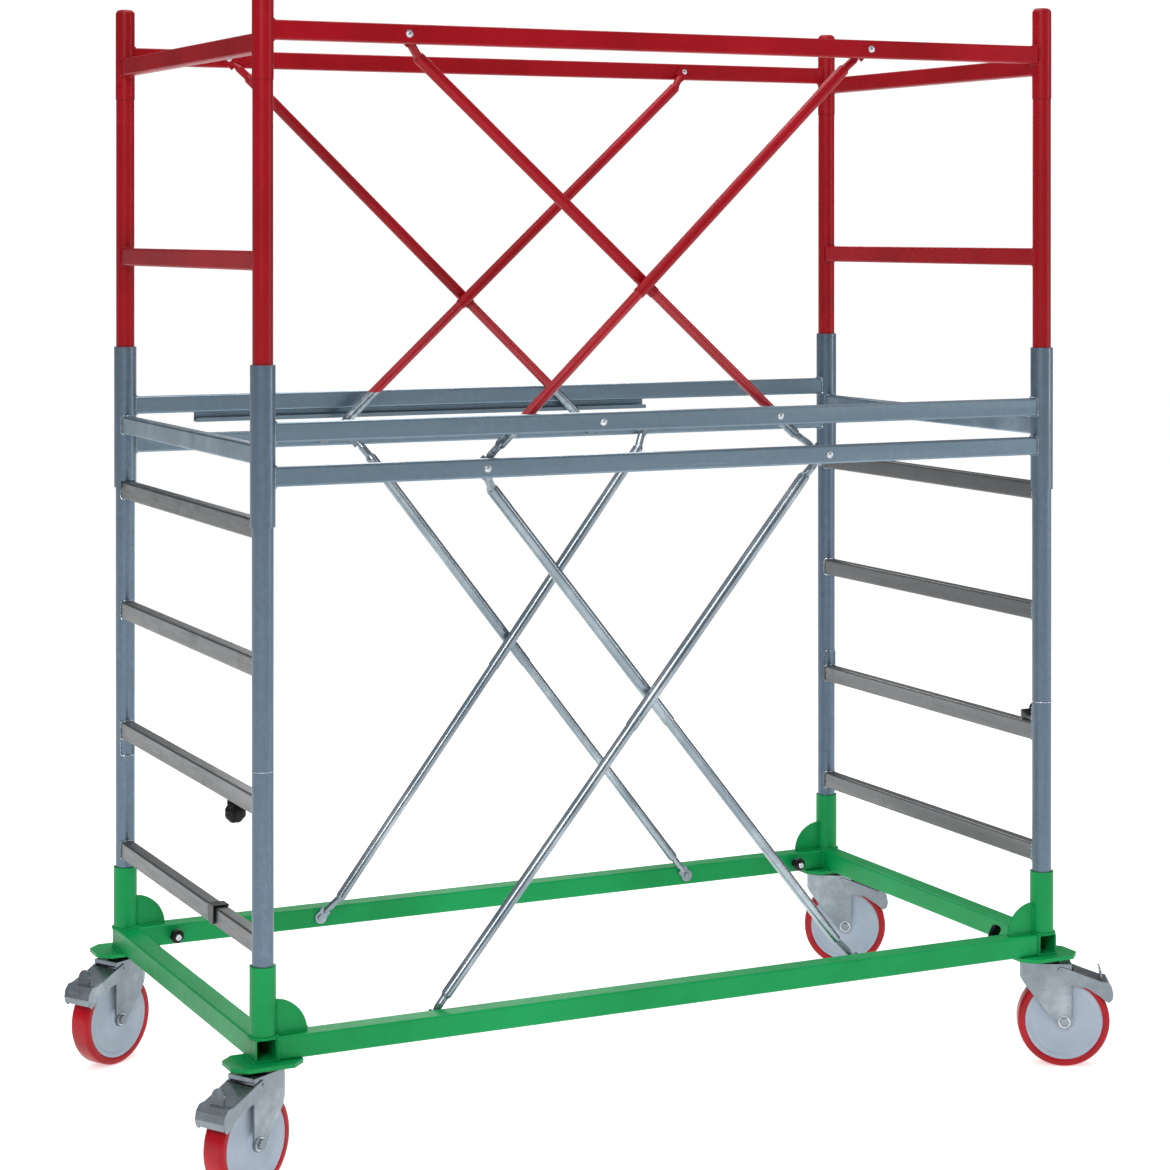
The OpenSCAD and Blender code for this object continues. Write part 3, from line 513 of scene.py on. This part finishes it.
def weld_flat_tube(bm, box, tube, cut=None):
    """Beads at both ends of a flat tube between round uprights; cut keeps them below a height."""
    lo, hi = box
    centre = mid(box)
    if hi.y - lo.y > hi.x - lo.x:
        ends = ((Vector((centre.x, FRONT, centre.z)), Y), (Vector((centre.x, REAR, centre.z)), -Y))
    else:
        y = FRONT if centre.y < MIDDLE else REAR
        ends = ((Vector((LEFT, y, centre.z)), X), (Vector((RIGHT, y, centre.z)), -X))
    for at, towards in ends:
        path = saddle(at, RAIL, tube, towards)
        if cut is None:
            bead(bm, path, TUBE_BEAD)
        else:
            low = [i for i, p in enumerate(path) if p.z < cut]
            start = next(k for k, i in enumerate(low) if k and low[k - 1] != i - 1) if low[0] == 0 else 0
            bead(bm, [path[i] for i in low[start:] + low[:start]], TUBE_BEAD, closed=False)


for side in ("left", "right"):
    bm = bmesh.new()
    for lo, hi in islands(side + "_rungs"):        # the knob lug too: its bead pair has no rung
        z = (lo.z + hi.z) / 2
        x = LEFT if side == "left" else RIGHT
        half = Vector((RAIL[0] / 2, 0, RAIL[1] / 2))
        box = (Vector((x, FRONT, z)) - half, Vector((x, REAR, z)) + half)
        weld_flat_tube(bm, box, LADDER_R, SLEEVE_LO - 0.003 if hi.z > SLEEVE_LO else None)
    piece(side + "_ladder_welds", bm, BRACE, "ladder_" + side)

    bm = bmesh.new()
    weld_flat_tube(bm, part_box(side + "_guard_rung"), GUARD_R)
    piece(side + "_guard_welds", bm, RED, "guard_" + side)

bm = bmesh.new()
for box in islands("top_rails"):
    weld_flat_tube(bm, box, POST_R)
piece("top_frame_welds", bm, RED, "top_frame")

bm = bmesh.new()
for lo, hi in rails:
    if max(hi.x - lo.x, hi.y - lo.y) < SHORT:
        continue
    if hi.y - lo.y < hi.x - lo.x and (lo.x > LEFT + 0.05 or hi.x < RIGHT - 0.05):
        continue
    box = (Vector((lo.x, lo.y, hi.z - RAIL[1])), hi)
    weld_flat_tube(bm, box, SLEEVE_R)
piece("platform_welds", bm, BRACE, "platform")

bm = bmesh.new()
for box in islands("sockets"):
    at = mid(box)
    ring = circle_path(Vector((at.x, at.y, BEAM_HI + 0.0006)), SOCKET_R + 0.0012)
    bead(bm, ring, SOCKET_BEAD, pitch=BASE_PITCH)
for x, inward in ((LEFT, 1), (RIGHT, -1)):
    for y in (FRONT, REAR):
        # round the end of the long rail
        plane = x + inward * (BEAM / 2 + 0.0008)
        outline = round_rect(BEAM + 0.003, BEAM + 0.003, 0.005, 0.0015)
        bead(bm, [Vector((plane, y + u, FOOT_Z + v)) for u, v in outline], BEAM_BEAD, pitch=BASE_PITCH)
        # both sides of the gusset, along the rail and up the socket
        for s in (-1, 1):
            a = Vector((x + inward * (SOCKET_R + 0.004), y + s * GUSSET_HALF, BEAM_HI + 0.0008))
            b = a + Vector((inward * 0.056, 0, 0))
            bead(bm, line_path(a, b), GUSSET_BEAD, closed=False, pitch=EDGE_PITCH)
            reach = math.sqrt(SOCKET_R * SOCKET_R - GUSSET_HALF * GUSSET_HALF) + 0.0008
            a = Vector((x + inward * reach, y + s * GUSSET_HALF, BEAM_HI + 0.004))
            b = a + Vector((0, 0, 0.058))
            bead(bm, line_path(a, b), GUSSET_BEAD, closed=False, pitch=EDGE_PITCH)
        # both lower edges of the side tube, on the corner plate
        deep = 1 if y < MIDDLE else -1
        for s in (-1, 1):
            a = Vector((x + s * (BEAM / 2 + 0.0006), y - deep * BEAM / 2, BEAM_LO + 0.0006))
            b = Vector((a.x, y + deep * 0.048, a.z))
            if s == inward:
                a.y = y + deep * (BEAM / 2 + 0.004)
            bead(bm, line_path(a, b), PLATE_BEAD, closed=False, pitch=EDGE_PITCH)
piece("base_welds", bm, GREEN, "base")

# ---------------------------------------------------------------- rivets

def rivet_heads(name, node, body):
    """Domed heads with a washer on the outside, closing heads inside, for every rivet of a node."""
    bm = bmesh.new()
    for lo, hi in islands(node):
        at = mid((lo, hi))
        side = -1 if at.y < MIDDLE else 1
        outer = lo.y if side < 0 else hi.y
        inner = hi.y if side < 0 else lo.y
        depth = abs(outer - inner)
        turn = Matrix.Translation((at.x, outer, at.z)) @ Matrix.Rotation(math.radians(90 * side), 4, "X")
        r = (hi.x - lo.x) / 2
        profile = [(0.0, 0.0), (r * 0.30, 0.00005), (r * 0.52, 0.00040),
                   (r * 0.66, 0.00105), (r * 0.70, 0.0015),
                   (r * 0.96, 0.0016), (r, 0.0018), (r, 0.0024), (r * 0.55, 0.0025), (0.0039, 0.0026),
                   (0.0039, depth - 0.0025), (r * 0.80, depth - 0.0024), (r * 0.84, depth - 0.0018),
                   (r * 0.60, depth - 0.0006), (r * 0.30, depth - 0.0001), (0.0, depth)]
        lathe(bm, profile, turn, steps=32)
    ob = piece(name, bm, BRIGHT, body)
    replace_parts(ob, node)
    return ob


rivet_heads("platform_rivet_heads", "platform_rivets", "platform")
rivet_heads("top_rivet_heads", "top_rivets", "top_frame")

# ---------------------------------------------------------------- casters

def corner_matrix(corner):
    """Caster space: local +X is the pedal side, the origin lies on the floor below the swivel axis."""
    x, y = CORNERS[corner]
    axle = mid(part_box("tyre_" + corner))
    turn = math.atan2(axle.y - y, axle.x - x)
    return Matrix.Translation((x, y, 0)) @ Matrix.Rotation(turn, 4, "Z")


TRAIL = (mid(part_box("tyre_fl")).xy - Vector(CORNERS["fl"])).length
WHEEL_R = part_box("tyre_fl")[1].z / 2
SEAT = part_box("corner_plates")[0].z
ALONG_AXLE = Matrix.Rotation(math.radians(90), 4, "X")
FORK_OUT = 0.0331        # outer face of a fork leg, from the wheel's middle


def arc(cx, cy, r, a0, a1, n):
    """Points on an arc, degrees, in profile space."""
    return [(cx + r * math.cos(math.radians(a0 + (a1 - a0) * i / n)),
             cy + r * math.sin(math.radians(a0 + (a1 - a0) * i / n))) for i in range(n + 1)]


for c in CORNERS:
    M = corner_matrix(c)
    hub = M @ Matrix.Translation((TRAIL, 0, WHEEL_R)) @ ALONG_AXLE

    # tyre: round shoulders, a fine mould line in the middle of the tread, a lip at the core
    bm = bmesh.new()
    R, W, IN = WHEEL_R, 0.025, WHEEL_R - 0.016
    half = arc(R - 0.0085, W - 0.0085, 0.0085, 90, 12, 10)
    profile = [(IN - 0.00005, 0.0), (IN - 0.00005, W - 0.0016), (IN + 0.0016, W - 0.0002), (IN + 0.004, W)]
    profile += half + [(R - 0.00010, 0.0090), (R - 0.00002, 0.0040), (R - 0.00002, 0.0009),
                       (R, 0.0005), (R, 0.0)]
    mirrored = [(r, -h) for r, h in reversed(profile[1:-1])]
    lathe(bm, profile + mirrored, hub, steps=144, closed=True)
    tyre = piece("tread_" + c, bm, TREAD, "wheel_" + c)
    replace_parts(tyre, "tyre_" + c)

    # core: rim ring, dished disc with a shallow step, hub boss with a bearing shield
    bm = bmesh.new()
    hub_w, axle_r = 0.0285, 0.0061
    half = [(axle_r, hub_w), (0.0125, hub_w), (0.0130, hub_w - 0.0006), (0.0140, hub_w - 0.0006),
            (0.0185, hub_w), (0.0198, hub_w - 0.0010), (0.0205, W - 0.0010), (0.0240, W - 0.0048),
            (0.0285, W - 0.0054), (0.0520, W - 0.0058), (0.0535, W - 0.0052), (IN - 0.0135, W - 0.0048),
            (IN - 0.0105, W - 0.0040), (IN - 0.0075, W - 0.0022), (IN - 0.0055, W - 0.0016),
            (IN - 0.0010, W - 0.0016), (IN - 0.0002, W - 0.0020)]
    profile = half + [(r, -h) for r, h in reversed(half)]
    lathe(bm, profile, hub, steps=144, closed=True)
    core = piece("wheel_disc_" + c, bm, NYLON, "wheel_" + c)
    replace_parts(core, "core_" + c)

    # swivel head: a ring below the corner plate, made black as painted shade under the plate
    bm = bmesh.new()
    at = M @ Matrix.Translation((0, 0, SEAT))
    shade_ring_profile = [(0.0366, -0.0068), (0.0384, -0.0060), (0.0392, -0.0044), (0.0392, -0.0020),
            (0.0382, -0.0006), (0.0362, -0.0002)]
    # black plastic here stands for the shade under the corner plate
    lathe(bm, shade_ring_profile, at, closed=True)
    piece("swivel_ring_painted_shade_" + c, bm, BLACK, "base")

    # axle washers, on the fork
    bm = bmesh.new()
    for s in (-1, 1):
        out = M @ Matrix.Translation((TRAIL, s * FORK_OUT, WHEEL_R))
        out = out @ Matrix.Rotation(math.radians(-90 * s), 4, "X")
        washer = [(0.0, 0.0), (0.0132, 0.0), (0.0135, 0.0003), (0.0135, 0.0012),
                  (0.0130, 0.0016), (0.0, 0.0016)]
        lathe(bm, washer, out, steps=48)
    piece("axle_washers_" + c, bm, BRIGHT, "fork_" + c)

# ---------------------------------------------------------------- knobs, clamps, upright joints

def grip(bm, matrix, r, depth, lobes):
    """A moulded knob: skirt, rounded crown, shallow dish; lobes flute its rim."""
    profile = [(0.0, 0.0), (r * 0.42, 0.0), (r * 0.42, depth * 0.12), (r * 0.80, depth * 0.20),
               (r * 0.96, depth * 0.32)]
    for degrees in range(0, 91, 10):
        a = math.radians(degrees)
        profile.append((r - r * 0.30 * (1 - math.cos(a)), depth * (0.42 + 0.46 * math.sin(a))))
    profile += [(r * 0.55, depth * 0.945), (r * 0.40, depth * 0.965), (r * 0.26, depth), (0.0, depth)]
    steps = 96
    rings = []
    for rr, h in profile:
        if rr == 0.0:
            rings.append([bm.verts.new(matrix @ Vector((0, 0, h)))])
            continue
        ring = []
        for i in range(steps):
            a = 2 * math.pi * i / steps
            flute = r * 0.05 * (0.5 + 0.5 * math.cos(lobes * a)) ** 3 if rr > r * 0.7 else 0.0
            out = rr - flute
            ring.append(bm.verts.new(matrix @ Vector((out * math.cos(a), out * math.sin(a), h))))
        rings.append(ring)
    skin(bm, rings)


for node in ("left_knob", "right_knob"):
    lo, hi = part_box(node)
    at = mid((lo, hi))
    turn = Matrix.Translation((at.x, hi.y, at.z)) @ Matrix.Rotation(math.radians(90), 4, "X")
    bm = bmesh.new()
    grip(bm, turn, (hi.x - lo.x) / 2, hi.y - lo.y, lobes=8)
    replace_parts(piece(node + "_grip", bm, BLACK, node), node)

CLAMP_IN = 0.105            # clamp screws: distance from the upright's axis, along the long rail
STEM = 0.0120               # from the rail to the fluted hub
HUB = 0.0200
WING = (0.0185, 0.0285)     # near and far face of the wing, from the rail
WING_TURN = 30              # the wing's lean, degrees
WING_HALF = 0.0108
WING_HIGH = 0.0340          # where the wing's round end starts


def wing(bm, x, face, side):
    """The wing of a front clamp: a blade with a round end and softened faces."""
    blade = Matrix.Translation((x, 0, FOOT_Z)) @ Matrix.Rotation(math.radians(-WING_TURN * side), 4, "Y")
    near, far = face + WING[0], face + WING[1]
    outline = [(-0.0095, 0.0105), (0.0095, 0.0105), (WING_HALF, 0.0200), (WING_HALF, WING_HIGH)]
    for degrees in range(15, 180, 15):
        a = math.radians(degrees)
        outline.append((WING_HALF * math.cos(a), WING_HIGH + 0.0075 * math.sin(a)))
    outline += [(-WING_HALF, WING_HIGH), (-WING_HALF, 0.0200)]
    middle = 0.026
    rows = []
    for y, shrink in ((near, 0.90), (near + 0.0015, 1.0), (far - 0.0015, 1.0), (far, 0.90)):
        rows.append([bm.verts.new(blade @ Vector((u * shrink, y, middle + (v - middle) * shrink)))
                     for u, v in outline])
    skin(bm, rows)
    bm.faces.new(rows[0])
    bm.faces.new(rows[-1])


# clamps: a fluted hub with a light metal screw end, which also serves as a painted highlight on the knob's
# crown; the front pair keeps the wing of the frame
for n in NODES:
    if not n.startswith("clamp"):
        continue
    lo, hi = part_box(n)
    front = (lo.y + hi.y) / 2 < MIDDLE
    side = 1 if lo.x < 0 else -1
    face = (FRONT + BEAM / 2) if front else (REAR - BEAM / 2)
    x = (LEFT if side > 0 else RIGHT) + side * CLAMP_IN if front else (hi.x + lo.x) / 2
    turn = Matrix.Translation((x, face, FOOT_Z)) @ Matrix.Rotation(math.radians(-90 if front else 90), 4, "X")
    bm = bmesh.new()
    stem = [(0.0, 0.0004), (0.0085, 0.0004), (0.0085, 0.0022), (0.0058, 0.0026), (0.0058, STEM), (0.0, STEM)]
    lathe(bm, stem, turn, steps=48)
    grip(bm, turn @ Matrix.Translation((0, 0, STEM)), CLAMP_R, HUB, lobes=7)
    if front:
        wing(bm, x, face, side)
    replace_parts(piece(n + "_hub", bm, BLACK, n), n)
    bm = bmesh.new()
    # bright screw end on the crown: a metal end and a painted highlight
    screw = [(0.0, 0.0), (0.0068, 0.0), (0.0068, 0.0032), (0.0056, 0.0042), (0.0030, 0.0042),
             (0.0026, 0.0030), (0.0, 0.0030)]
    lathe(bm, screw, turn @ Matrix.Translation((0, 0, 0.0312)), steps=36)
    piece(n + "_screw_end_and_highlight", bm, BRIGHT, n)

# the two-part front uprights: a thin joint ring above the second rung
JOINT_UP = 0.049            # from the top of that rung to the joint
for side, x in (("left", LEFT), ("right", RIGHT)):
    bm = bmesh.new()
    rung_top = sorted(b[1].z for b in islands(side + "_rungs") if b[1].y - b[0].y > 0.5)[1]
    bead(bm, circle_path(Vector((x, FRONT, rung_top + JOINT_UP)), LADDER_R + 0.0001), 0.0007, pitch=0.5)
    piece(side + "_upright_joints", bm, BRIGHT, "ladder_" + side)

# ---------------------------------------------------------------- stage, light, camera

def studio():
    """A pale floor, and a world that is white to the camera and a soft ramp to everything else."""
    size = 30.0
    me = bpy.data.meshes.new("floor")
    corners = [(-size, -size, 0), (size, -size, 0), (size, size, 0), (-size, size, 0)]
    me.from_pydata(corners, [], [(0, 1, 2, 3)])
    floor = bpy.data.objects.new("floor", me)
    bpy.context.scene.collection.objects.link(floor)
    g = Graph("studio_floor")
    tone = g.ramp(g.noise(0.8, 2.0, 0.5), [(0.3, (0.86, 0.86, 0.86)), (0.7, (0.90, 0.90, 0.90))])
    pale = g.set(tone, 0.9, 0.0, Specular_IOR_Level=0.1, Emission_Color=(1.0, 1.0, 1.0, 1.0),
                 Emission_Strength=0.55)
    me.materials.append(pale)

    world = bpy.data.worlds.new("studio")
    bpy.context.scene.world = world
    world.use_nodes = True
    tree = world.node_tree
    tree.nodes.clear()
    out = tree.nodes.new("ShaderNodeOutputWorld")
    seen = tree.nodes.new("ShaderNodeBackground")
    seen.inputs[0].default_value = (1.0, 1.0, 1.0, 1.0)
    seen.inputs[1].default_value = 1.05
    lit = tree.nodes.new("ShaderNodeBackground")
    lit.inputs[1].default_value = 1.0
    coord = tree.nodes.new("ShaderNodeTexCoord")
    split = tree.nodes.new("ShaderNodeSeparateXYZ")
    tree.links.new(coord.outputs["Generated"], split.inputs[0])
    ramp = tree.nodes.new("ShaderNodeValToRGB")
    stops = ((0.0, 0.45), (0.44, 0.40), (0.50, 0.08), (0.60, 0.12), (0.74, 0.42), (1.0, 0.80))
    while len(ramp.color_ramp.elements) < len(stops):
        ramp.color_ramp.elements.new(0.5)
    for e, (at, v) in zip(ramp.color_ramp.elements, stops):
        e.position = at
        e.color = (v * 0.97, v * 0.99, v, 1.0)
    half = tree.nodes.new("ShaderNodeMapRange")
    half.inputs[1].default_value = -1.0
    tree.links.new(split.outputs["Z"], half.inputs[0])
    tree.links.new(half.outputs[0], ramp.inputs[0])
    tree.links.new(ramp.outputs[0], lit.inputs[0])
    path = tree.nodes.new("ShaderNodeLightPath")
    mix = tree.nodes.new("ShaderNodeMixShader")
    tree.links.new(path.outputs["Is Camera Ray"], mix.inputs[0])
    tree.links.new(lit.outputs[0], mix.inputs[1])
    tree.links.new(seen.outputs[0], mix.inputs[2])
    tree.links.new(mix.outputs[0], out.inputs[0])


def softbox(name, at, aim, size, power):
    """A white rectangular area light at a place, turned towards aim."""
    data = bpy.data.lights.new(name, "AREA")
    data.shape = "RECTANGLE"
    data.size, data.size_y = size
    data.energy = power
    lamp = bpy.data.objects.new(name, data)
    bpy.context.scene.collection.objects.link(lamp)
    lamp.location = at
    lamp.rotation_mode = "QUATERNION"
    lamp.rotation_quaternion = (Vector(aim) - Vector(at)).to_track_quat("-Z", "Y")


studio()
softbox("key", (-3.4, -4.4, 4.4), (0, 0, 1.1), (1.2, 2.6), 150)
softbox("fill", (4.8, -3.2, 2.4), (0, 0, 1.1), (1.0, 3.2), 42)
softbox("top", (0.0, 0.6, 5.2), (0, 0, 0.8), (2.4, 1.6), 85)
softbox("rim", (1.8, 4.8, 3.2), (0, 0, 1.2), (1.6, 2.0), 40)

camera_data = bpy.data.cameras.new("camera")
camera = bpy.data.objects.new("camera", camera_data)
bpy.context.scene.collection.objects.link(camera)
camera.location = (-2.6472, -5.4549, 1.8294)
camera.rotation_euler = (math.radians(90.0), 0.0, math.radians(-25.833))
camera_data.sensor_width = 36.0
camera_data.lens = 84.96
camera_data.shift_x = 0.0
camera_data.shift_y = -0.3031
camera_data.clip_start = 0.1
camera_data.clip_end = 200.0
bpy.context.scene.camera = camera
bpy.context.scene.view_settings.view_transform = "Standard"
bpy.context.scene.view_settings.look = "None"
